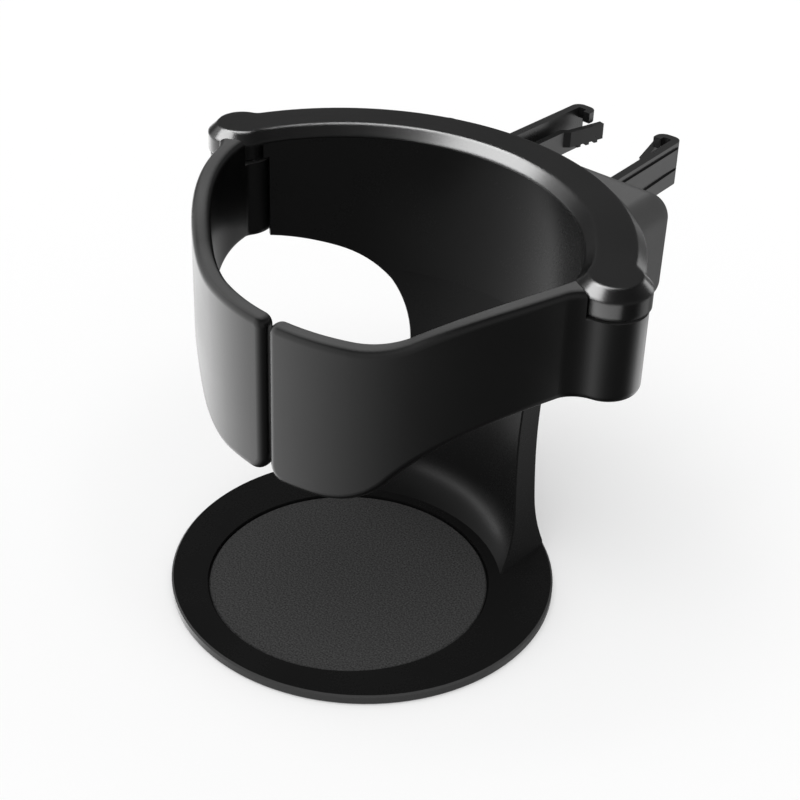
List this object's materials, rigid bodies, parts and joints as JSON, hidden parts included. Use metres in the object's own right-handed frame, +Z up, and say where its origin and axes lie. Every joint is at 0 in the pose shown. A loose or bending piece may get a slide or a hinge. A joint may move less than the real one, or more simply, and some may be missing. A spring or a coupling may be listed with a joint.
{
  "type": "car cup holder",
  "caption": "Black air-vent cup holder: a C-shaped ring and waisted back frame on a round padded base, with sprung curved arms closing the front and hooks behind for the vent slats.",
  "frame": {"origin": "on the base's underside, on the axis of the ring and the cup", "axes": "+Z up along the cup axis, +Y back towards the vent, +X to the right seen from the arms"},
  "size_m": [0.1068, 0.1268, 0.0854],
  "materials": {
    "frame_plastic": "satin black moulding",
    "cover_plastic": "smooth satin black with bright bevels",
    "arm_plastic": "soft satin black",
    "hook_plastic": "dark grey, slightly glossy",
    "pad_rubber": "fine-grained dark rubber",
    "steel": "plain zinc-plated steel"
  },
  "bodies": {
    "holder": {"frame": "frame_plastic", "top_cover": "cover_plastic", "base_pad": "pad_rubber", "clip_housing": "frame_plastic", "vent_hook_left": "hook_plastic", "vent_hook_right": "hook_plastic", "hinge_screw_left": "steel", "hinge_screw_right": "steel", "hinge_washer_left": "steel", "hinge_washer_right": "steel", "hinge_spring_left": "steel", "hinge_spring_right": "steel", "housing_screws": "steel", "cover_screws": "steel"},
    "left_arm": {"arm_left": "arm_plastic"},
    "right_arm": {"arm_right": "arm_plastic"}
  },
  "joints": [
    {"name": "arm_left_hinge", "type": "hinge", "parent": "holder", "child": "left_arm", "pos_m": [-0.04642, 0.01871, 0.0715], "axis": [0, 0, -1], "range_deg": [0, 35], "stiffness_Nm_per_rad": 0.06, "springref_deg": -28.65, "deforming": ["hinge_spring_left"]},
    {"name": "arm_right_hinge", "type": "hinge", "parent": "holder", "child": "right_arm", "pos_m": [0.04642, 0.01871, 0.0715], "axis": [0, 0, 1], "range_deg": [0, 35], "stiffness_Nm_per_rad": 0.06, "springref_deg": -28.65, "deforming": ["hinge_spring_right"]}
  ]
}
